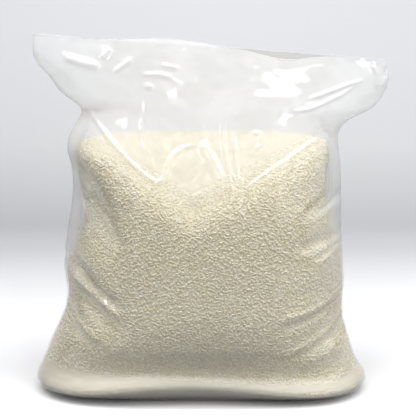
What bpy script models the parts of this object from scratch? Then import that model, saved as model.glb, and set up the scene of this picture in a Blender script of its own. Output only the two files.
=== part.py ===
"""A five kilogram bag of rice: a clear plastic pillow bag, filled to two thirds of its height
and standing on its flattened bottom, with the empty top of the bag pressed flat and flared.

The bag is one closed solid. It is lofted from rings, each of which runs from the bag's left side
fold across the front to its right side fold and back across the rear. Metres, +Z up, +X to the
right and -Y to the front; the origin is the middle of the base.
"""

import math

import bmesh
import bpy
import numpy as np

# Driving dimensions of the standing bag
BAG_HEIGHT = 0.3128         # mean height of the bag's mouth above the floor
MOUTH_SLANT = 0.023         # the mouth's left end stands this much higher than its right end
MOUTH_THICKNESS = 0.004     # the two panels of the mouth where they lie together
MOUTH_PARTING = 0.008       # added where the panels stand apart, right of the middle
MOUTH_PARTING_X = 0.055
NECK_HEIGHT = 0.2528        # height of the pinch between the filled body and the flat mouth
SLANT_START = 0.150         # below this height the rings lie level
FRONT_BELLY = 0.076         # the most the front stands out from the middle
BACK_BELLY = 0.072          # the most the back stands out from the middle
SEAL_RING = 0.007           # ring of the bottom seal, the front's outermost edge
SEAL_ARCH = 0.012           # the front's bottom seal arches up this much more off the floor
ARCH_X = -0.022             # where it does so the most
ARCH_WIDTH = 0.092
ARCH_END = 0.045            # rings above this height don't follow the arch

# Each side fold: stations of (height, distance from the bag's middle)
LEFT_SIDE = (
    (0.000, 0.1440), (0.003, 0.1540), (0.008, 0.1602), (0.024, 0.1566), (0.054, 0.1444),
    (0.076, 0.1345), (0.091, 0.1320), (0.114, 0.1348), (0.150, 0.1308), (0.174, 0.1267),
    (0.206, 0.1268), (0.219, 0.1311), (0.236, 0.1255), (0.2528, 0.1155), (0.264, 0.1336),
    (0.278, 0.1449), (0.288, 0.1557), (0.3128, 0.1600),
)
RIGHT_SIDE = (
    (0.000, 0.1230), (0.003, 0.1350), (0.008, 0.1420), (0.024, 0.1350), (0.044, 0.1288),
    (0.066, 0.1224), (0.103, 0.1217), (0.145, 0.1190), (0.214, 0.1169), (0.234, 0.1148),
    (0.246, 0.1154), (0.2528, 0.1216), (0.265, 0.1420), (0.280, 0.1540), (0.294, 0.1593),
    (0.3128, 0.1552),
)

# Share of the belly's depth at each height, below the free film at the top. The front flares out
# to the seal along its bottom edge; the back curves in under the rice.
FRONT_SHARE = (
    (0.000, 0.66), (0.003, 0.84), (0.007, 0.99), (0.011, 0.98), (0.016, 0.94), (0.021, 0.89),
    (0.028, 0.88), (0.045, 0.94), (0.065, 1.00), (0.110, 0.99), (0.165, 0.92), (0.215, 0.83),
    (0.250, 0.76),
)
BACK_SHARE = (
    (0.000, 0.55), (0.003, 0.62), (0.007, 0.69), (0.013, 0.77), (0.023, 0.86), (0.038, 0.94),
    (0.065, 1.00), (0.110, 0.99), (0.165, 0.92), (0.215, 0.83), (0.250, 0.76),
)

# Shape of a ring at each height: 1 and 1 make an ellipse, a smaller first number squares the ring
# across its width, and a smaller second number rounds its side folds
RING_SHAPE = (
    (0.000, 0.42, 0.95), (0.009, 0.44, 0.92), (0.030, 0.56, 0.86), (0.080, 0.78, 0.86),
    (0.200, 0.84, 0.88), (0.250, 0.88, 1.00), (0.3128, 1.00, 0.55),
)

# Where the front panel leaves the rice and runs up to the mouth: a shallow V between the shoulders
VALLEY_HEIGHT = 0.174       # lowest point of the V
VALLEY_X = -0.018
LEFT_SHOULDER = (-0.118, 0.222)
RIGHT_SHOULDER = (0.110, 0.226)
BACK_SHOULDER_HEIGHT = 0.229

# Folds of the film over the rice: (x, height) of both ends, depth and half width;
# a fold with negative depth stands out
SIDE_FOLDS = (
    ((-0.121, 0.205), (-0.084, 0.148), 0.0030, 0.0075),
    ((-0.118, 0.176), (-0.078, 0.120), 0.0026, 0.0075),
    ((-0.126, 0.110), (-0.074, 0.062), 0.0034, 0.0080),
    ((-0.124, 0.092), (-0.076, 0.036), -0.0020, 0.0070),
    ((0.124, 0.168), (0.086, 0.144), 0.0028, 0.0075),
    ((0.127, 0.138), (0.080, 0.112), -0.0022, 0.0075),
    ((0.127, 0.074), (0.072, 0.052), 0.0030, 0.0080),
    ((0.129, 0.056), (0.070, 0.028), -0.0024, 0.0075),
)

# Division of the surface
PANEL_COLUMNS = 40          # strips across one panel of the bag
BODY_LEVELS = 25            # rings up to the neck
MOUTH_LEVELS = 12           # rings from the neck to the mouth
BOTTOM_RINGS = (0.0, 0.003, SEAL_RING, 0.011, 0.016, 0.021, 0.028)   # rings round the bottom seal

PLASTIC_COLOUR = (0.86, 0.84, 0.76, 1.0)
PLASTIC_ROUGHNESS = 0.25


def clear_scene():
    for old in list(bpy.data.objects):
        bpy.data.objects.remove(old, do_unlink=True)


def smooth_along(stations, height, column=1):
    """Value at a height on a smooth curve through the stations."""
    heights = [station[0] for station in stations]
    values = [station[column] for station in stations]
    slopes = np.gradient(values, heights)
    span = min(max(np.searchsorted(heights, height) - 1, 0), len(heights) - 2)
    length = heights[span + 1] - heights[span]
    t = min(max((height - heights[span]) / length, 0.0), 1.0)
    start = (1 + 2 * t) * (1 - t) ** 2 * values[span] + t * (1 - t) ** 2 * length * slopes[span]
    end = t * t * (3 - 2 * t) * values[span + 1] - t * t * (1 - t) * length * slopes[span + 1]
    return start + end


def ease(t):
    """Rises smoothly from 0 to 1 as t does."""
    t = min(max(t, 0.0), 1.0)
    return t * t * (3 - 2 * t)


def mouth_height(x):
    """Height of the mouth's edge, which slants down from left to right."""
    reach = (x + LEFT_SIDE[-1][1]) / (LEFT_SIDE[-1][1] + RIGHT_SIDE[-1][1])
    return BAG_HEIGHT + MOUTH_SLANT * (0.5 - reach)


def mouth_middle(x):
    """How far behind the bag's middle the mouth's edge waves."""
    return 0.006 + 0.005 * math.sin(2 * math.pi * (x + 0.05) / 0.30)


def mouth_thickness(x):
    """The mouth's two panels lie together at the ends and stand a little apart in between."""
    return MOUTH_THICKNESS + MOUTH_PARTING * math.exp(-(((x - MOUTH_PARTING_X) / 0.055) ** 2))


def leaving_height(x):
    """Height at which the front panel leaves the rice."""
    shoulder = LEFT_SHOULDER if x < VALLEY_X else RIGHT_SHOULDER
    reach = min((x - VALLEY_X) / (shoulder[0] - VALLEY_X), 1.0)
    return VALLEY_HEIGHT + (shoulder[1] - VALLEY_HEIGHT) * reach ** 0.9


def arch_rise(x, height):
    """How much the arch of the front's bottom seal lifts a ring's front off its own height."""
    if height < SEAL_RING:
        share = ease(height / SEAL_RING)
    else:
        share = 1 - ease((height - SEAL_RING) / (ARCH_END - SEAL_RING))
    return SEAL_ARCH * share * math.exp(-(((x - ARCH_X) / ARCH_WIDTH) ** 2))


def fold_depth(x, height):
    """How deep the folds of the front panel press in at a place."""
    depth = 0.0
    for start, end, fold, half_width in SIDE_FOLDS:
        run = np.array(end) - np.array(start)
        length = np.linalg.norm(run)
        place = np.array((x, height)) - np.array(start)
        reach = np.dot(place, run) / length ** 2
        aside = (place[0] * run[1] - place[1] * run[0]) / length
        depth += fold * math.exp(-((aside / half_width) ** 2)) * math.exp(-((2 * reach - 0.8) ** 4))
    return depth


def panel_point(across, height, front):
    """A point of the front or the back panel; across runs from 0, left fold, to 1, right fold."""
    angle = math.pi * (1 - across)
    left = smooth_along(LEFT_SIDE, height)
    right = smooth_along(RIGHT_SIDE, height)
    swing = math.copysign(abs(math.cos(angle)) ** smooth_along(RING_SHAPE, height), math.cos(angle))
    x = swing * right if swing > 0 else swing * left
    bulge = max(math.sin(angle), 0.0) ** smooth_along(RING_SHAPE, height, column=2)

    level, belly, share = BACK_SHOULDER_HEIGHT, BACK_BELLY, BACK_SHARE
    if front:
        level, belly, share = leaving_height(x), FRONT_BELLY, FRONT_SHARE
    depth = belly * smooth_along(share, min(height, level)) * bulge
    if height > level:
        closing = (height - level) / (BAG_HEIGHT - level)
        depth += (mouth_thickness(x) / 2 * bulge - depth) * closing
    if front and NECK_HEIGHT > height > BOTTOM_RINGS[-1]:
        depth -= fold_depth(x, height) * ease(depth / 0.03)

    rise = ease((height - SLANT_START) / (BAG_HEIGHT - SLANT_START))
    middle = mouth_middle(x) * rise
    lifted = height + (mouth_height(x) - BAG_HEIGHT) * rise
    if front:
        lifted += arch_rise(x, height) * bulge
    return x, middle + (-depth if front else depth), lifted


def ring_heights():
    body = np.linspace(BOTTOM_RINGS[-1], NECK_HEIGHT, BODY_LEVELS)[1:]
    mouth = np.linspace(NECK_HEIGHT, BAG_HEIGHT, MOUTH_LEVELS)[1:]
    return [*BOTTOM_RINGS, *body, *mouth]


def ring(mesh, height):
    """One ring of the loft: across the front from left to right, then across the back."""
    front = [panel_point(i / PANEL_COLUMNS, height, True) for i in range(PANEL_COLUMNS + 1)]
    back = [panel_point(i / PANEL_COLUMNS, height, False) for i in range(PANEL_COLUMNS - 1, 0, -1)]
    return [mesh.verts.new(point) for point in front + back]


def close_ring(mesh, points, upwards):
    """Fills a ring with strips from each front point to the back point behind it."""
    front = points[:PANEL_COLUMNS + 1]
    back = [points[0], *reversed(points[PANEL_COLUMNS + 1:]), points[PANEL_COLUMNS]]
    for i in range(PANEL_COLUMNS):
        corners = list(dict.fromkeys((front[i], front[i + 1], back[i + 1], back[i])))
        mesh.faces.new(corners if upwards else corners[::-1])


def centre_over_base(mesh):
    """Moves the bag so that the middle of its bounding box stands over the origin."""
    points = np.array([corner.co for corner in mesh.verts])
    middle = (points.min(axis=0) + points.max(axis=0)) / 2
    bmesh.ops.translate(mesh, verts=mesh.verts, vec=(-middle[0], -middle[1], 0.0))


def clear_plastic():
    material = bpy.data.materials.new("bagged_rice")
    material.use_nodes = True
    surface = material.node_tree.nodes["Principled BSDF"]
    surface.inputs["Base Color"].default_value = PLASTIC_COLOUR
    surface.inputs["Roughness"].default_value = PLASTIC_ROUGHNESS
    surface.inputs["Metallic"].default_value = 0.0
    return material


def rice_bag():
    mesh = bmesh.new()
    rings = [ring(mesh, height) for height in ring_heights()]
    for lower, upper in zip(rings, rings[1:]):
        for i in range(len(lower)):
            after = (i + 1) % len(lower)
            mesh.faces.new((lower[i], lower[after], upper[after], upper[i]))
    close_ring(mesh, rings[0], upwards=False)
    close_ring(mesh, rings[-1], upwards=True)
    centre_over_base(mesh)
    bmesh.ops.recalc_face_normals(mesh, faces=mesh.faces)

    data = bpy.data.meshes.new("rice_bag")
    mesh.to_mesh(data)
    mesh.free()
    data.shade_smooth()
    data.set_sharp_from_angle(angle=math.radians(50))
    data.materials.append(clear_plastic())
    bag = bpy.data.objects.new("rice_bag", data)
    bpy.context.scene.collection.objects.link(bag)


clear_scene()
rice_bag()
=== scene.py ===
"""The looks of a five kilogram bag of rice: loose white grains inside a clear plastic pillow bag that
stands on its flattened bottom, with the empty top of the bag pressed flat and flared."""
import math

import bpy
import numpy as np
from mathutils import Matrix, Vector, noise
from mathutils.bvhtree import BVHTree


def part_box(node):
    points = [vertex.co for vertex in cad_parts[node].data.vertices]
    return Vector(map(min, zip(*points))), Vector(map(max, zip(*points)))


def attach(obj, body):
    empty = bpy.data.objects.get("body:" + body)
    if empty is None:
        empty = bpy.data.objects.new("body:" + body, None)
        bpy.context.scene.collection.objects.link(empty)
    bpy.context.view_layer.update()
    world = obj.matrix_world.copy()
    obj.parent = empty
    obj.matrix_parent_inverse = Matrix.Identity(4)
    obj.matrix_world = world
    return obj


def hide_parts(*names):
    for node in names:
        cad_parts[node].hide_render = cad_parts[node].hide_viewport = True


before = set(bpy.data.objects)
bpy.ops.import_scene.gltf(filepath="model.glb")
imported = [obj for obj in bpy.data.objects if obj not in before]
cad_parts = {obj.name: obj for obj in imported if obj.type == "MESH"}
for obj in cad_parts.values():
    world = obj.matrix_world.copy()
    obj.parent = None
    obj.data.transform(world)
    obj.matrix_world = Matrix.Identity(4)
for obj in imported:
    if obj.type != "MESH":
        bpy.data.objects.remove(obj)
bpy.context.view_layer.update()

bag_low, bag_high = (np.array(corner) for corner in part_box("rice_bag"))
bag_height = bag_high[2]
bpy.ops.object.select_all(action="DESELECT")


# ---- Studio -----------------------------------------------------------------------------------
# The bag stands on a white sheet that sweeps up into a pale wall close behind it. A long softbox
# hangs over it, two wide ones stand left and right, and two small ones make the creases glint.

CAMERA_DISTANCE = 1.2
CAMERA_ELEVATION = math.radians(11.0)
aim = Vector((-0.0018, 0.0, 0.1672))
back_to_camera = Vector((0.0, -math.cos(CAMERA_ELEVATION), math.sin(CAMERA_ELEVATION)))
bpy.ops.object.camera_add(location=aim + back_to_camera * CAMERA_DISTANCE)
camera = bpy.context.object
camera.name = "camera"
camera.rotation_mode = "QUATERNION"
camera.rotation_quaternion = (-back_to_camera).to_track_quat("-Z", "Y")
camera.data.lens = 114.0
bpy.context.scene.camera = camera
bpy.context.scene.view_settings.view_transform = "Standard"
bpy.context.scene.cycles.transparent_max_bounces = 16


def soft_light(name, place, target, size, power):
    """A rectangular softbox that faces its target."""
    bpy.ops.object.light_add(type="AREA", location=place)
    lamp = bpy.context.object
    lamp.name = name
    lamp.data.shape = "RECTANGLE"
    lamp.data.size, lamp.data.size_y = size
    lamp.data.energy = power
    lamp.rotation_mode = "QUATERNION"
    lamp.rotation_quaternion = (Vector(target) - Vector(place)).to_track_quat("-Z", "Y")


soft_light("overhead_softbox", (0.0, -0.24, 1.25), (0.0, -0.10, 0.15), (1.4, 0.55), 13.5)
soft_light("left_softbox", (-1.15, -1.00, 1.35), (0.0, 0.0, 0.15), (2.2, 2.2), 14.5)
soft_light("right_softbox", (1.35, -0.85, 1.20), (0.0, 0.0, 0.15), (2.2, 2.2), 22.5)
soft_light("left_spark", (-0.36, -0.80, 1.15), (0.0, 0.0, 0.25), (0.10, 0.10), 0.8)
soft_light("right_spark", (0.30, -0.90, 1.05), (0.0, 0.0, 0.25), (0.10, 0.10), 0.8)

AIR_TONE = (0.90, 0.93, 1.0, 1.0)
AIR_STRENGTH = 0.20
BACKGROUND_TONE = (0.80, 0.81, 0.84, 1.0)

world = bpy.data.worlds.new("studio_air")
bpy.context.scene.world = world
world.use_nodes = True
air, air_links = world.node_tree.nodes, world.node_tree.links
air["Background"].inputs["Color"].default_value = AIR_TONE
air["Background"].inputs["Strength"].default_value = AIR_STRENGTH
pale = air.new("ShaderNodeBackground")
pale.inputs["Color"].default_value = BACKGROUND_TONE
looked_at = air.new("ShaderNodeLightPath")
background = air.new("ShaderNodeMixShader")
air_links.new(looked_at.outputs["Is Camera Ray"], background.inputs["Fac"])
air_links.new(air["Background"].outputs["Background"], background.inputs[1])
air_links.new(pale.outputs["Background"], background.inputs[2])
air_links.new(background.outputs["Shader"], air["World Output"].inputs["Surface"])


PAPER_RISE = 0.45           # the paper changes from the floor's tone to the wall's up to this height
# share of that height, and the paper's tone there as the camera sees it: past the white floor these are
# painted shade low on the sweep, a painted lighter band at mid height and painted grey higher up the wall,
# where less light falls
SEEN_TONES_WITH_PAINTED_LIGHT = ((0.0, (0.92, 0.92, 0.93, 1.0)), (0.16, (0.70, 0.705, 0.735, 1.0)),
              (0.42, (0.84, 0.845, 0.87, 1.0)), (1.0, (0.71, 0.715, 0.745, 1.0)))
BOUNCED_TONES = ((0.0, (0.09, 0.09, 0.085, 1.0)), (0.16, (0.30, 0.30, 0.30, 1.0)))


def paper_tone(nodes, links, tones):
    """The paper's tone by its height: white on the floor, greyer up the wall; in the tones the camera sees,
    this greying is painted shade, with a painted lighter band at mid height.
    """
    where = nodes.new("ShaderNodeTexCoord")
    parts = nodes.new("ShaderNodeSeparateXYZ")
    height = nodes.new("ShaderNodeMapRange")
    height.inputs["From Max"].default_value = PAPER_RISE
    tone = nodes.new("ShaderNodeValToRGB")
    stops = tone.color_ramp.elements
    stops[0].position, stops[0].color = tones[0]
    stops[1].position, stops[1].color = tones[-1]
    for share, shade in tones[1:-1]:
        stops.new(share).color = shade
    links.new(where.outputs["Object"], parts.inputs["Vector"])
    links.new(parts.outputs["Z"], height.inputs["Value"])
    links.new(height.outputs["Result"], tone.inputs["Fac"])
    return tone.outputs["Color"]


def stage_paper(name, one_sided):
    """Matt paper that throws only a part of its light back on the bag. One-sided paper is
    see-through from behind, for views from the back."""
    material = bpy.data.materials.new(name)
    material.use_nodes = True
    nodes, links = material.node_tree.nodes, material.node_tree.links
    nodes.remove(nodes["Principled BSDF"])
    bright = nodes.new("ShaderNodeBsdfDiffuse")
    # what the camera sees: the white floor, then painted shade and a painted lighter band up the wall
    links.new(paper_tone(nodes, links, SEEN_TONES_WITH_PAINTED_LIGHT), bright.inputs["Color"])
    dim = nodes.new("ShaderNodeBsdfDiffuse")
    links.new(paper_tone(nodes, links, BOUNCED_TONES), dim.inputs["Color"])
    path = nodes.new("ShaderNodeLightPath")
    glossy = nodes.new("ShaderNodeMath")
    glossy.operation = "MAXIMUM"
    direct = nodes.new("ShaderNodeMath")
    direct.operation = "MAXIMUM"
    paper = nodes.new("ShaderNodeMixShader")
    links.new(path.outputs["Is Glossy Ray"], glossy.inputs[0])
    links.new(path.outputs["Is Transmission Ray"], glossy.inputs[1])
    links.new(glossy.outputs["Value"], direct.inputs[0])
    links.new(path.outputs["Is Camera Ray"], direct.inputs[1])
    links.new(direct.outputs["Value"], paper.inputs["Fac"])
    links.new(dim.outputs["BSDF"], paper.inputs[1])
    links.new(bright.outputs["BSDF"], paper.inputs[2])
    surface = paper
    if one_sided:
        side = nodes.new("ShaderNodeNewGeometry")
        clear = nodes.new("ShaderNodeBsdfTransparent")
        surface = nodes.new("ShaderNodeMixShader")
        links.new(side.outputs["Backfacing"], surface.inputs["Fac"])
        links.new(paper.outputs["Shader"], surface.inputs[1])
        links.new(clear.outputs["BSDF"], surface.inputs[2])
    links.new(surface.outputs["Shader"], nodes["Material Output"].inputs["Surface"])
    return material


SWEEP_START = 0.15
SWEEP_RADIUS = 0.10
WALL_TOP = 1.6
STAGE_HALF_WIDTH = 2.0
SHEET_DROP = 0.0002         # how far the sheet lies below the bag, and the floor below the sheet
FLOOR_DROP = 0.002
FLOOR_SIZE = 8.0
SWEEP_FRONT = -3.0
SWEEP_STEPS = 24

bpy.ops.mesh.primitive_plane_add(size=FLOOR_SIZE, location=(0.0, 0.0, -FLOOR_DROP))
floor = bpy.context.object
floor.name = "floor"
floor.data.materials.append(stage_paper("floor_paper", False))

bpy.ops.mesh.primitive_plane_add(size=1.0, location=(0.0, 0.0, 0.0))
sweep = bpy.context.object
sweep.name = "sweep"
profile = [(SWEEP_FRONT, -SHEET_DROP), (SWEEP_START, -SHEET_DROP)]
for step in range(1, SWEEP_STEPS + 1):
    turn = math.radians(90 * step / SWEEP_STEPS)
    profile.append((SWEEP_START + SWEEP_RADIUS * math.sin(turn),
                    SWEEP_RADIUS * (1 - math.cos(turn)) - SHEET_DROP))
profile.append((SWEEP_START + SWEEP_RADIUS, WALL_TOP))
corners = [(side * STAGE_HALF_WIDTH, y, z) for y, z in profile for side in (-1, 1)]
strips = [(2 * i, 2 * i + 1, 2 * i + 3, 2 * i + 2) for i in range(len(profile) - 1)]
sweep.data.clear_geometry()
sweep.data.from_pydata(corners, [], strips)
sweep.data.shade_smooth()
sweep.data.materials.append(stage_paper("sweep_paper", True))


# ---- Plastic film -----------------------------------------------------------------------------
# The bag is a tube of clear polyethylene film, heat sealed across the bottom and left open at the
# top, where its two panels fall together. Rice draws it tight; above the rice it creases.

def keep_only(piece):
    """Makes one object the only one that is selected, and the active one."""
    bpy.ops.object.select_all(action="DESELECT")
    piece.select_set(True)
    bpy.context.view_layer.objects.active = piece


def apply_modifier(piece, kind, **settings):
    """Puts one modifier on an object and applies it."""
    keep_only(piece)
    modifier = piece.modifiers.new(kind.title(), kind)
    for name, value in settings.items():
        setattr(modifier, name, value)
    bpy.ops.object.modifier_apply(modifier=modifier.name)


def corners_of(piece):
    """Places of a mesh's corners, one row for each."""
    places = np.empty(len(piece.data.vertices) * 3)
    piece.data.vertices.foreach_get("co", places)
    return places.reshape(-1, 3)


def place_corners(piece, places):
    """Moves a mesh's corners to the given places."""
    piece.data.vertices.foreach_set("co", places.ravel())
    piece.data.update()


def outward(piece):
    """Unit normals of a mesh's corners."""
    normals = np.empty(len(piece.data.vertices) * 3)
    piece.data.vertices.foreach_get("normal", normals)
    return normals.reshape(-1, 3)


film = bpy.data.objects.new("film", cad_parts["rice_bag"].data.copy())
bpy.context.scene.collection.objects.link(film)
film.data.materials.clear()
keep_only(film)
bpy.ops.object.mode_set(mode="EDIT")
bpy.ops.mesh.select_all(action="SELECT")
bpy.ops.mesh.remove_doubles(threshold=0.00001)
bpy.ops.mesh.tris_convert_to_quads(face_threshold=math.radians(60), shape_threshold=math.radians(60))
bpy.ops.mesh.select_all(action="DESELECT")
bpy.ops.object.mode_set(mode="OBJECT")
for face in film.data.polygons:
    face.select = face.normal.z > 0.8 and face.center.z > 0.9 * bag_height
bpy.ops.object.mode_set(mode="EDIT")
bpy.ops.mesh.select_mode(type="FACE")
bpy.ops.mesh.delete(type="FACE")
bpy.ops.object.mode_set(mode="OBJECT")

SEAL_HEIGHT = 0.024         # the crease along the bottom seal lies below this
bpy.ops.object.mode_set(mode="EDIT")
bpy.ops.mesh.select_mode(type="EDGE")
bpy.ops.mesh.select_all(action="DESELECT")
bpy.ops.mesh.edges_select_sharp(sharpness=math.radians(24))
bpy.ops.object.mode_set(mode="OBJECT")
for edge in film.data.edges:
    ends = [film.data.vertices[corner].co for corner in edge.vertices]
    edge.select = edge.select and max(end.z for end in ends) < SEAL_HEIGHT
bpy.ops.object.mode_set(mode="EDIT")
bpy.ops.transform.edge_crease(value=0.75)
bpy.ops.object.mode_set(mode="OBJECT")
apply_modifier(film, "SUBSURF", levels=2, render_levels=2)
film.data.shade_smooth()


PATH_POINTS = 60


def along_path(points):
    """Points evenly spaced along a smooth line through the given ones."""
    points = np.array(points)
    reach = np.concatenate([[0.0], np.cumsum(np.linalg.norm(np.diff(points, axis=0), axis=1))])
    even = np.linspace(0.0, reach[-1], PATH_POINTS)
    line = np.stack([np.interp(even, reach, points[:, axis]) for axis in (0, 1)], axis=1)
    for _ in range(6):
        line[1:-1] = (line[:-2] + 2 * line[1:-1] + line[2:]) / 4
    return line


RIDGE_TAPER = 0.15          # share of a ridge's length over which each end fades
RIDGE_END = 0.15            # share of its height that is left at the ends


def ridge(places, path, half_width):
    """How much of a ridge's height each (x, z) place gets: 1 on its line, fading aside and to its ends."""
    line = along_path(path)
    share = np.zeros(len(places))
    reach = np.linspace(0.0, 1.0, len(line))
    fade = np.clip(np.minimum(reach, 1 - reach) / RIDGE_TAPER, 0, 1)
    near = np.where((places > line.min(axis=0) - 4 * half_width).all(axis=1)
                    & (places < line.max(axis=0) + 4 * half_width).all(axis=1))[0]
    if len(near):
        gaps = np.linalg.norm(places[near, None, :] - line[None, :, :], axis=2)
        closest = gaps.argmin(axis=1)
        share[near] = np.exp(-((gaps.min(axis=1) / half_width) ** 2))
        share[near] *= RIDGE_END + (1 - RIDGE_END) * fade[closest]
    return share


# Creases of the front panel above the rice: a line of (x, z) points, height and half width
FRONT_CREASES = (
    (((-0.105, 0.2545), (-0.088, 0.235), (-0.071, 0.218), (-0.0535, 0.2035), (-0.045, 0.1985),
      (-0.039, 0.204), (-0.0365, 0.2145), (-0.032, 0.2235), (-0.021, 0.229), (-0.010, 0.2305)),
     0.0016, 0.0017),
    (((0.028, 0.1935), (0.0527, 0.2095), (0.080, 0.226), (0.100, 0.2375)), 0.0015, 0.0016),
    (((0.012, 0.253), (0.012, 0.233), (0.0165, 0.2075), (0.0195, 0.184)), 0.0016, 0.0016),
    (((0.021, 0.240), (0.0225, 0.2125), (0.0285, 0.1920)), 0.0014, 0.0015),
    (((-0.008, 0.234), (0.004, 0.213), (0.016, 0.190)), 0.0016, 0.0045),
    (((-0.0617, 0.275), (-0.0587, 0.249), (-0.0584, 0.235), (-0.052, 0.218), (-0.0467, 0.2075)),
     0.0004, 0.0018),
    (((0.036, 0.240), (0.0437, 0.2398), (0.0450, 0.2300), (0.0383, 0.2269)), 0.0007, 0.0018),
    (((-0.130, 0.305), (-0.115, 0.300), (-0.098, 0.2955)), 0.0018, 0.0035),
    (((-0.0896, 0.3116), (-0.0955, 0.3015)), 0.0012, 0.0025),
    (((-0.085, 0.291), (-0.069, 0.3004)), 0.0011, 0.0022),
    (((-0.060, 0.2876), (-0.045, 0.2868), (-0.033, 0.284)), 0.0010, 0.0020),
    (((-0.044, 0.2938), (-0.0275, 0.2915)), 0.0008, 0.0018),
    (((-0.058, 0.279), (-0.050, 0.277)), 0.0009, 0.0025),
    (((0.088, 0.268), (0.106, 0.2745), (0.121, 0.2795), (0.136, 0.284)), 0.0012, 0.0017),
    (((0.072, 0.2575), (0.090, 0.2603), (0.117, 0.2719), (0.130, 0.280)), 0.0011, 0.0017),
    (((0.145, 0.298), (0.149, 0.288), (0.148, 0.277)), 0.0012, 0.0018),
    (((0.158, 0.296), (0.1555, 0.286)), -0.0010, 0.0018),
)

# Folds of the front panel over the rice, near its sides and above the bottom
BODY_FOLDS = (
    (((-0.123, 0.2136), (-0.105, 0.194), (-0.0916, 0.170)), -0.0026, 0.0048),
    (((-0.115, 0.188), (-0.096, 0.165), (-0.080, 0.141)), -0.0024, 0.0048),
    (((-0.134, 0.128), (-0.115, 0.119), (-0.101, 0.1033), (-0.0785, 0.0884)), -0.0031, 0.0046),
    (((-0.131, 0.114), (-0.101, 0.099), (-0.0785, 0.080)), 0.0016, 0.0036),
    (((-0.132, 0.086), (-0.112, 0.068), (-0.0967, 0.0562)), 0.0012, 0.0022),
    (((-0.128, 0.0703), (-0.112, 0.060), (-0.094, 0.050)), -0.0015, 0.0028),
    (((0.119, 0.186), (0.102, 0.176), (0.087, 0.170)), -0.0020, 0.0046),
    (((0.121, 0.150), (0.098, 0.146), (0.078, 0.1408)), -0.0019, 0.0046),
    (((0.122, 0.098), (0.0878, 0.0851), (0.060, 0.079)), 0.0015, 0.0028),
    (((0.121, 0.091), (0.0878, 0.078), (0.062, 0.072)), -0.0019, 0.0032),
    (((0.123, 0.075), (0.0928, 0.0587), (0.061, 0.0445)), 0.0015, 0.0026),
    (((0.126, 0.066), (0.0928, 0.0510), (0.064, 0.038)), -0.0015, 0.0030),
    (((0.1136, 0.0215), (0.1216, 0.0259), (0.131, 0.0262)), 0.0012, 0.0024),
    (((-0.130, 0.127), (-0.114, 0.113), (-0.099, 0.098)), -0.0017, 0.0018),
    (((-0.128, 0.117), (-0.108, 0.102), (-0.090, 0.089), (-0.078, 0.083)), 0.0011, 0.0026),
    (((-0.131, 0.087), (-0.117, 0.075)), -0.0011, 0.0015),
    (((-0.131, 0.076), (-0.119, 0.066), (-0.105, 0.055)), 0.0007, 0.0012),
    (((0.114, 0.183), (0.104, 0.176), (0.094, 0.172)), -0.0014, 0.0018),
    (((0.116, 0.142), (0.106, 0.136), (0.094, 0.131)), -0.0012, 0.0018),
    (((0.124, 0.106), (0.100, 0.096), (0.078, 0.090)), 0.0007, 0.0014),
    (((0.128, 0.060), (0.106, 0.046), (0.084, 0.037)), 0.0007, 0.0014),
)

CREASE_REACH = 2.6          # half widths from a crease's line within which the film is cut finer


VALLEY = (-0.016, 0.172)    # x and height of the lowest point of the V where the film leaves the rice
LEFT_RIM = (-0.108, 0.222)
RIGHT_RIM = (0.108, 0.228)
RIM_BEND = 0.95             # below 1, the two arms of the V bow upwards


def rim_arm(x, rim):
    """Height of one arm of the V, which climbs from the valley to its rim."""
    share = np.clip((x - VALLEY[0]) / (rim[0] - VALLEY[0]), 0, 1)
    return VALLEY[1] + (rim[1] - VALLEY[1]) * share ** RIM_BEND


def front_rim(x):
    """Height of the V along the front."""
    return np.maximum(rim_arm(x, LEFT_RIM), rim_arm(x, RIGHT_RIM))


def near_path(spots, path, reach):
    """Which of the (x, z) spots lie within reach of a line."""
    line = along_path(path)
    gaps = np.linalg.norm(spots[:, None, :] - line[None, :, :], axis=2)
    return gaps.min(axis=1) < reach


middles = np.empty(len(film.data.polygons) * 3)
film.data.polygons.foreach_get("center", middles)
middles = middles.reshape(-1, 3)
facing = np.empty(len(film.data.polygons) * 3)
film.data.polygons.foreach_get("normal", facing)
facing = facing.reshape(-1, 3)
fine = np.zeros(len(middles), dtype=bool)
for path, height, half_width in FRONT_CREASES + BODY_FOLDS:
    fine |= near_path(middles[:, [0, 2]], path, half_width * CREASE_REACH)
fine &= facing[:, 1] < 0.0
film.data.polygons.foreach_set("select", fine)
keep_only(film)
bpy.ops.object.mode_set(mode="EDIT")
bpy.ops.mesh.select_mode(type="FACE")
bpy.ops.object.mode_set(mode="OBJECT")
film.data.polygons.foreach_set("select", fine)
bpy.ops.object.mode_set(mode="EDIT")
bpy.ops.mesh.subdivide(number_cuts=1, smoothness=0.6)
bpy.ops.object.mode_set(mode="OBJECT")

places = corners_of(film)
normals = outward(film)
front = np.clip((0.25 - normals[:, 1]) / 0.3, 0, 1)
folds = np.zeros(len(places))
for path, height, half_width in BODY_FOLDS:
    folds += height * ridge(places[:, [0, 2]], path, half_width)
folded = places + normals * (folds * front)[:, None]
place_corners(film, folded)
rice_limit = BVHTree.FromPolygons([corner.co for corner in film.data.vertices],
                                  [face.vertices for face in film.data.polygons])

# Above the rice the free film creases, and waves a little all over
WAVES = ((0.055, 0.0008), (0.022, 0.0005), (0.010, 0.00030))   # length and height of each kind of wave
creases = np.zeros(len(places))
for path, height, half_width in FRONT_CREASES:
    creases += height * ridge(places[:, [0, 2]], path, half_width)
slack = np.clip((places[:, 2] - front_rim(places[:, 0]) - 0.008) / 0.03, 0, 1)
slack[places[:, 1] > 0.0] = np.clip((places[places[:, 1] > 0.0, 2] - 0.235) / 0.03, 0, 1)
waves = np.zeros(len(places))
for length, height in WAVES:
    waves += height * np.array([noise.noise(Vector(place) / length) for place in places])
lift = creases * front + waves * slack
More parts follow.
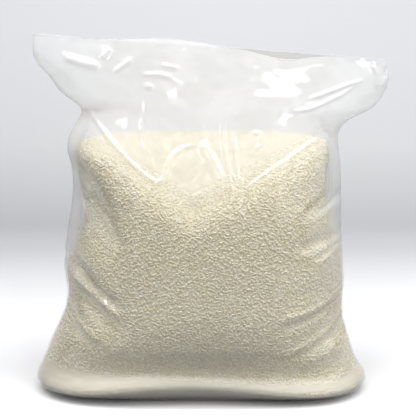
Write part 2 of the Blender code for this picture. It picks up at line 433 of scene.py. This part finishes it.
# x, half width and depth of each dip of the front lip; the last one is a rise
LIP_DIPS = ((0.066, 0.028, 0.006), (-0.035, 0.045, -0.0045))
sag = np.zeros(len(places))
for x, half_width, depth in LIP_DIPS:
    sag += depth * np.exp(-((places[:, 0] - x) / half_width) ** 2)
sag *= np.clip((places[:, 2] - 0.27) / 0.03, 0, 1) * (normals[:, 1] < 0.0)
folded = folded + normals * lift[:, None]
folded[:, 2] -= sag
place_corners(film, folded)

# Haze: the film is milky along the bottom seal, above the rice and at its sides
CLEAR_HAZE = 0.10
SEAL_HAZE = 0.15
TOP_HAZE = 0.20
SIDE_HAZE = 0.24
seal_top = 0.0265 - 0.045 * np.clip(places[:, 0], -0.09, 0.09)
strip = np.clip((seal_top - places[:, 2]) / 0.010 + 0.6, 0, 1) * np.clip(-places[:, 1] / 0.02, 0, 1)
strip = strip * strip * (3 - 2 * strip)
strip *= 0.8 + 0.2 * np.clip((0.130 - np.abs(places[:, 0] + 0.02)) / 0.05, 0, 1)
above = np.clip((places[:, 2] - front_rim(places[:, 0]) + 0.004) / 0.026, 0, 1)
side = np.clip((np.abs(normals[:, 0]) - 0.45) / 0.35, 0, 1) * np.clip((places[:, 2] - 0.08) / 0.06, 0, 1)
hazy = CLEAR_HAZE + SEAL_HAZE * strip + TOP_HAZE * above + SIDE_HAZE * side
haze = film.data.attributes.new("haze", "FLOAT", "POINT")
haze.data.foreach_set("value", hazy)
milkiness = film.data.attributes.new("milkiness", "FLOAT", "POINT")
milkiness.data.foreach_set("value", strip)


FILM_ROUGHNESS = 0.07
SEAL_ROUGHNESS = 0.45       # added along the milky seal
HEAD_ON_SHINE = 0.034       # share of light that glances off, seen head on
SLANT_SHINE = 0.45          # and added to it as the film turns away


def film_plastic():
    """Clear film: mostly see-through, a faint milky haze, and glossy reflections that grow with slant."""
    material = bpy.data.materials.new("clear_film")
    material.use_nodes = True
    nodes, links = material.node_tree.nodes, material.node_tree.links
    nodes.remove(nodes["Principled BSDF"])
    clear = nodes.new("ShaderNodeBsdfTransparent")
    clear.inputs["Color"].default_value = (0.985, 0.985, 0.985, 1.0)
    milk = nodes.new("ShaderNodeBsdfDiffuse")
    milk.inputs["Color"].default_value = (0.93, 0.93, 0.92, 1.0)
    gloss = nodes.new("ShaderNodeBsdfGlossy")
    milky = nodes.new("ShaderNodeAttribute")
    milky.attribute_name = "milkiness"
    blur = nodes.new("ShaderNodeMath")
    blur.operation = "MULTIPLY_ADD"
    blur.inputs[1].default_value = SEAL_ROUGHNESS
    blur.inputs[2].default_value = FILM_ROUGHNESS
    links.new(milky.outputs["Fac"], blur.inputs[0])
    links.new(blur.outputs["Value"], gloss.inputs["Roughness"])
    haze = nodes.new("ShaderNodeMixShader")
    share = nodes.new("ShaderNodeAttribute")
    share.attribute_name = "haze"
    slant = nodes.new("ShaderNodeLayerWeight")
    slant.inputs["Blend"].default_value = 0.20
    shine = nodes.new("ShaderNodeMath")
    shine.operation = "MULTIPLY_ADD"
    shine.inputs[1].default_value = SLANT_SHINE
    shine.inputs[2].default_value = HEAD_ON_SHINE
    mix = nodes.new("ShaderNodeMixShader")
    links.new(slant.outputs["Facing"], shine.inputs[0])
    links.new(shine.outputs["Value"], mix.inputs["Fac"])
    links.new(share.outputs["Fac"], haze.inputs["Fac"])
    links.new(clear.outputs["BSDF"], haze.inputs[1])
    links.new(milk.outputs["BSDF"], haze.inputs[2])
    links.new(haze.outputs["Shader"], mix.inputs[1])
    links.new(gloss.outputs["BSDF"], mix.inputs[2])
    links.new(mix.outputs["Shader"], nodes["Material Output"].inputs["Surface"])
    return material


film.data.materials.append(film_plastic())
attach(film, "root")
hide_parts("rice_bag")


# ---- Mouth edge -------------------------------------------------------------------------------
# The cut edge of the film around the open mouth: it is the same film seen end on, where it looks
# white. It is drawn out of the film's own border.

MOUTH_EDGE_THICKNESS = 0.0005

keep_only(film)
bpy.ops.object.mode_set(mode="EDIT")
bpy.ops.mesh.select_mode(type="EDGE")
bpy.ops.mesh.select_all(action="DESELECT")
bpy.ops.mesh.select_non_manifold(extend=False, use_wire=False, use_boundary=True, use_multi_face=False,
                                 use_non_contiguous=False, use_verts=False)
bpy.ops.mesh.duplicate()
bpy.ops.mesh.separate(type="SELECTED")
bpy.ops.object.mode_set(mode="OBJECT")
mouth_edge = [piece for piece in bpy.context.selected_objects if piece is not film][0]
mouth_edge.name = "mouth_edge"
mouth_edge.data.materials.clear()
keep_only(mouth_edge)
bpy.ops.object.convert(target="CURVE")
mouth_edge.data.bevel_depth = MOUTH_EDGE_THICKNESS / 2
mouth_edge.data.bevel_resolution = 1
bpy.ops.object.convert(target="MESH")
mouth_edge.data.shade_smooth()

edge_film = bpy.data.materials.new("film_edge")
edge_film.use_nodes = True
edge_surface = edge_film.node_tree.nodes["Principled BSDF"]
edge_surface.inputs["Base Color"].default_value = (0.93, 0.93, 0.93, 1.0)
edge_surface.inputs["Roughness"].default_value = 0.25
edge_surface.inputs["Alpha"].default_value = 0.65
mouth_edge.data.materials.append(edge_film)
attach(mouth_edge, "root")
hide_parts("rice_bag")


# ---- Rice bed ---------------------------------------------------------------------------------
# The rice inside fills the body of the bag up to a slope that dips in a V behind the front panel.
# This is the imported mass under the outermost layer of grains.

BED_GAP = 0.0020            # from the film to the bed
SIDE_GAP = 0.0025           # more of it at the side folds, which the rice can't fill
SLACK_GAP = 0.0105          # and most where the film stands off the rice, at one height on each side
LEFT_SLACK, RIGHT_SLACK = 0.158, 0.188
SLACK_REACH = 0.030
LOW_GAP = 0.0065            # and behind the bottom seal
RIM_BACK = 0.2330
SHOULDER = 0.022            # the bed's edge is rounded over this much of its height
SHOULDER_ROUND = 0.011
BED_BOTTOM = 0.0012
BEARINGS = 300
WALL_ROWS = 80
TOP_ROWS = 30


def film_reach(height, bearing, middle):
    """How far the film is from the middle axis at a height, in a direction."""
    direction = Vector((math.cos(bearing), math.sin(bearing), 0.0))
    hit = rice_limit.ray_cast(Vector((middle, 0.0, height)), direction)
    return hit[3]


def rim_height(x, bearing):
    """Height of the bed's edge: the V along the front, level along the back."""
    towards_back = min(max((math.sin(bearing) + 0.7) / 1.0, 0.0), 1.0)
    blend = towards_back * towards_back * (3 - 2 * towards_back)
    return front_rim(x) * (1 - blend) + RIM_BACK * blend


BED_MIDDLE = -0.005
wall = []
for k in range(BEARINGS):
    bearing = 2 * math.pi * k / BEARINGS
    sideways = abs(math.cos(bearing)) ** 8
    rim = 0.20
    for _ in range(4):
        reach = film_reach(rim, bearing, BED_MIDDLE)
        rim = rim_height(BED_MIDDLE + reach * math.cos(bearing), bearing) - 0.002
    column = []
    for row in range(WALL_ROWS + 1):
        share = row / WALL_ROWS
        height = BED_BOTTOM + (rim - BED_BOTTOM) * share
        high = min(max((height - 0.11) / 0.07, 0.0), 1.0)
        low = min(max((0.052 - height) / 0.022, 0.0), 1.0) * max(-math.sin(bearing), 0.0)
        slack_height = RIGHT_SLACK if math.cos(bearing) > 0 else LEFT_SLACK
        standing_off = math.exp(-((height - slack_height) / SLACK_REACH) ** 2)
        reach = film_reach(height, bearing, BED_MIDDLE) - BED_GAP - LOW_GAP * low
        reach -= (SIDE_GAP * high + SLACK_GAP * standing_off) * sideways
        near_rim = min(max((height - rim + SHOULDER) / SHOULDER, 0.0), 1.0)
        reach -= SHOULDER_ROUND * (1 - math.sqrt(1 - near_rim ** 2))
        shrink = 0.97 if row == WALL_ROWS else 1.0
        column.append((BED_MIDDLE + reach * shrink * math.cos(bearing),
                       reach * shrink * math.sin(bearing), height))
    wall.append(column)
wall = np.array(wall)

rings = [wall[:, row] for row in range(WALL_ROWS)]
rim_ring = wall[:, WALL_ROWS]
centre = rim_ring.mean(axis=0)


def bed_top(x, y):
    """Height of the bed's sloping top inside its rim."""
    depth = np.interp(x, (-0.13, -0.09, 0.0, 0.09, 0.13), (0.015, 0.045, 0.060, 0.045, 0.015))
    share = np.clip((y + depth) / (2 * depth), 0, 1)
    low = front_rim(x)
    return low + (RIM_BACK + 0.004 - low) * share ** 0.85


for row in range(TOP_ROWS):
    share = 1 - (row + 0.35) / TOP_ROWS
    flat = centre[:2] + (rim_ring[:, :2] - centre[:2]) * share
    inner = bed_top(flat[:, 0], flat[:, 1])
    edge = rim_ring[:, 2]
    blend = np.clip((1 - share) / 0.2, 0, 1)
    heights = edge * (1 - blend) + inner * blend
    rings.append(np.column_stack([flat, heights]))

bed_places = np.concatenate(rings + [np.array([[centre[0], centre[1], rings[-1][:, 2].mean()],
                                               [BED_MIDDLE, 0.0, BED_BOTTOM]])])
top_point, bottom_point = len(bed_places) - 2, len(bed_places) - 1
bed_faces = []
for ring in range(len(rings) - 1):
    for k in range(BEARINGS):
        after = (k + 1) % BEARINGS
        bed_faces.append((ring * BEARINGS + k, ring * BEARINGS + after,
                          (ring + 1) * BEARINGS + after, (ring + 1) * BEARINGS + k))
last = (len(rings) - 1) * BEARINGS
for k in range(BEARINGS):
    after = (k + 1) % BEARINGS
    bed_faces.append((last + k, last + after, top_point))
    bed_faces.append((after, k, bottom_point))

bed_mesh = bpy.data.meshes.new("rice_bed")
bed_mesh.from_pydata(bed_places.tolist(), [], bed_faces)
bed = bpy.data.objects.new("rice_bed", bed_mesh)
bpy.context.scene.collection.objects.link(bed)
bed.data.shade_smooth()


def bed_rice():
    """Packed grains seen between the outer ones: cream, with painted shade in the gaps between them."""
    material = bpy.data.materials.new("packed_rice_gap_shade")
    material.use_nodes = True
    nodes, links = material.node_tree.nodes, material.node_tree.links
    surface = nodes["Principled BSDF"]
    surface.inputs["Roughness"].default_value = 0.6
    where = nodes.new("ShaderNodeTexCoord")
    cells = nodes.new("ShaderNodeTexVoronoi")
    cells.inputs["Scale"].default_value = 420.0
    # cream in the middle of each cell, darker tan towards its edge: painted shade in the gaps between packed
    # grains
    tone = nodes.new("ShaderNodeValToRGB")
    tone.color_ramp.elements[0].position = 0.15
    tone.color_ramp.elements[0].color = (0.80, 0.735, 0.55, 1.0)
    tone.color_ramp.elements[1].position = 0.75
    tone.color_ramp.elements[1].color = (0.70, 0.625, 0.43, 1.0)
    bump = nodes.new("ShaderNodeBump")
    bump.inputs["Distance"].default_value = 0.001
    bump.inputs["Strength"].default_value = 0.5
    bump.invert = True
    links.new(where.outputs["Object"], cells.inputs["Vector"])
    links.new(cells.outputs["Distance"], tone.inputs["Fac"])
    links.new(tone.outputs["Color"], surface.inputs["Base Color"])
    links.new(cells.outputs["Distance"], bump.inputs["Height"])
    links.new(bump.outputs["Normal"], surface.inputs["Normal"])
    return material


bed.data.materials.append(bed_rice())
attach(bed, "root")
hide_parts("rice_bag")


# ---- Rice grains ------------------------------------------------------------------------------
# Milled white rice. Each grain is a spindle 3 to 4 mm long, shorter than whole rice, to give the
# fine texture of the heap. Those against the film lie flat to it; those on the slope as they fell.

GRAIN_SEGMENTS = 5
GRAIN_RINGS = 3

LOWEST_GRAIN = 0.0035
random = np.random.default_rng(551)


def rice_grain(name, length, width, thickness):
    """One grain: a spindle along X."""
    bpy.ops.object.select_all(action="DESELECT")
    bpy.ops.mesh.primitive_uv_sphere_add(segments=GRAIN_SEGMENTS, ring_count=GRAIN_RINGS, radius=0.5)
    grain = bpy.context.object
    grain.name = name
    points = corners_of(grain)
    points = points[:, [2, 0, 1]]
    points[:, 1:] *= 1.12
    points *= (length, width, thickness)
    place_corners(grain, points)
    return grain


def face_samples(piece, count):
    """Spots spread evenly over a mesh, with the normal of the face at each."""
    mesh = piece.data
    mesh.calc_loop_triangles()
    triangles = np.empty(len(mesh.loop_triangles) * 3, dtype=np.int64)
    mesh.loop_triangles.foreach_get("vertices", triangles)
    triangles = triangles.reshape(-1, 3)
    points = corners_of(piece)[triangles]
    cross = np.cross(points[:, 1] - points[:, 0], points[:, 2] - points[:, 0])
    doubled = np.linalg.norm(cross, axis=1)
    normals = cross / np.maximum(doubled, 1e-12)[:, None]
    seen = points[:, :, 2].mean(axis=1) > LOWEST_GRAIN
    weight = np.cumsum(doubled * seen)
    spots = (np.arange(count) + random.random(count)) / count * weight[-1]
    chosen = np.searchsorted(weight, spots)
    a, b = random.random(count), random.random(count)
    flip = a + b > 1
    a[flip], b[flip] = 1 - a[flip], 1 - b[flip]
    corner, side_a, side_b = points[chosen, 0], points[chosen, 1], points[chosen, 2]
    where = corner + (side_a - corner) * a[:, None] + (side_b - corner) * b[:, None]
    return where, normals[chosen]


def lay_grains(grain, where, normals, depth, tilt, spread, name):
    """Joins copies of one grain, each turned at random in the plane of the surface under it."""
    count = len(where)
    helper = np.where(np.abs(normals[:, 2:3]) < 0.9, (0.0, 0.0, 1.0), (1.0, 0.0, 0.0))
    across = np.cross(helper, normals)
    across /= np.linalg.norm(across, axis=1)[:, None]
    along = np.cross(normals, across)
    turn = random.random(count) * 2 * math.pi
    lean = random.normal(0.0, tilt, count)
    length_axis = across * np.cos(turn)[:, None] + along * np.sin(turn)[:, None]
    length_axis = length_axis * np.cos(lean)[:, None] + normals * np.sin(lean)[:, None]
    up_axis = normals - length_axis * np.sum(normals * length_axis, axis=1)[:, None]
    up_axis /= np.linalg.norm(up_axis, axis=1)[:, None]
    side_axis = np.cross(up_axis, length_axis)
    size = 1 + random.normal(0.0, spread, (count, 3))
    centres = where + normals * (depth[0] + (depth[1] - depth[0]) * random.random(count))[:, None]

    one = corners_of(grain)
    points = (centres[:, None, :]
              + one[None, :, 0:1] * (length_axis * size[:, 0:1])[:, None, :]
              + one[None, :, 1:2] * (side_axis * size[:, 1:2])[:, None, :]
              + one[None, :, 2:3] * (up_axis * size[:, 2:3])[:, None, :])
    corners = [tuple(face.vertices) for face in grain.data.polygons]
    sizes = np.array([len(face) for face in corners])
    flat = np.concatenate([np.array(face) for face in corners])
    starts = np.concatenate([[0], np.cumsum(sizes)[:-1]])

    mesh = bpy.data.meshes.new(name)
    mesh.vertices.add(count * len(one))
    mesh.vertices.foreach_set("co", points.ravel())
    mesh.loops.add(count * len(flat))
    mesh.loops.foreach_set("vertex_index", (flat[None, :] + np.arange(count)[:, None] * len(one)).ravel())
    mesh.polygons.add(count * len(corners))
    mesh.polygons.foreach_set("loop_start", (starts[None, :] + np.arange(count)[:, None] * len(flat)).ravel())
    mesh.polygons.foreach_set("loop_total", np.tile(sizes, count))
    mesh.update(calc_edges=True)
    tone = mesh.attributes.new("grain_tone", "FLOAT", "POINT")
    tone.data.foreach_set("value", np.repeat(random.random(count), len(one)))
    mesh.shade_smooth()
    piece = bpy.data.objects.new(name, mesh)
    bpy.context.scene.collection.objects.link(piece)
    return piece


def grain_surface(name, dark, light):
    """Polished rice: each grain has its own tone between two colours."""
    material = bpy.data.materials.new(name)
    material.use_nodes = True
    nodes, links = material.node_tree.nodes, material.node_tree.links
    surface = nodes["Principled BSDF"]
    surface.inputs["Roughness"].default_value = 0.5
    surface.inputs["Specular IOR Level"].default_value = 0.3
    tone = nodes.new("ShaderNodeAttribute")
    tone.attribute_name = "grain_tone"
    ramp = nodes.new("ShaderNodeValToRGB")
    ramp.color_ramp.elements[0].color = dark
    ramp.color_ramp.elements[1].color = light
    links.new(tone.outputs["Fac"], ramp.inputs["Fac"])
    links.new(ramp.outputs["Color"], surface.inputs["Base Color"])
    return material


# kind: length, width, thickness, count, dark tone, light tone
GRAIN_KINDS = {
    "pearly_grains": (0.0036, 0.0018, 0.0011, 9900, (0.78, 0.72, 0.53, 1), (0.83, 0.77, 0.59, 1)),
    "cream_grains": (0.0035, 0.0018, 0.0011, 9900, (0.76, 0.69, 0.49, 1), (0.81, 0.74, 0.55, 1)),
    "chalky_grains": (0.0034, 0.0018, 0.0011, 9900, (0.82, 0.77, 0.61, 1), (0.88, 0.85, 0.73, 1)),
    "glassy_grains": (0.0037, 0.0017, 0.0010, 9900, (0.71, 0.63, 0.42, 1), (0.78, 0.71, 0.51, 1)),
    "broken_grains": (0.0026, 0.0018, 0.0011, 9900, (0.74, 0.67, 0.47, 1), (0.82, 0.76, 0.58, 1)),
}

GRAIN_DEPTH = (-0.0005, 0.0003)     # from the bed to a grain's middle, least and most
GRAIN_TILT = 0.08
GRAIN_SPREAD = 0.08

kinds = list(GRAIN_KINDS)
total = sum(GRAIN_KINDS[kind][3] for kind in kinds)
where, facing = face_samples(bed, total)
order = random.permutation(total)
used = 0
for kind in kinds:
    length, width, thickness, count, dark, light = GRAIN_KINDS[kind]
    grain = rice_grain(kind + "_one", length, width, thickness)
    mine = order[used:used + count]
    used += count
    grains = lay_grains(grain, where[mine], facing[mine], GRAIN_DEPTH, GRAIN_TILT, GRAIN_SPREAD, kind)
    bpy.data.objects.remove(grain, do_unlink=True)
    grains.data.materials.append(grain_surface(kind + "_skin", dark, light))
    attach(grains, "root")
    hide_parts("rice_bag")
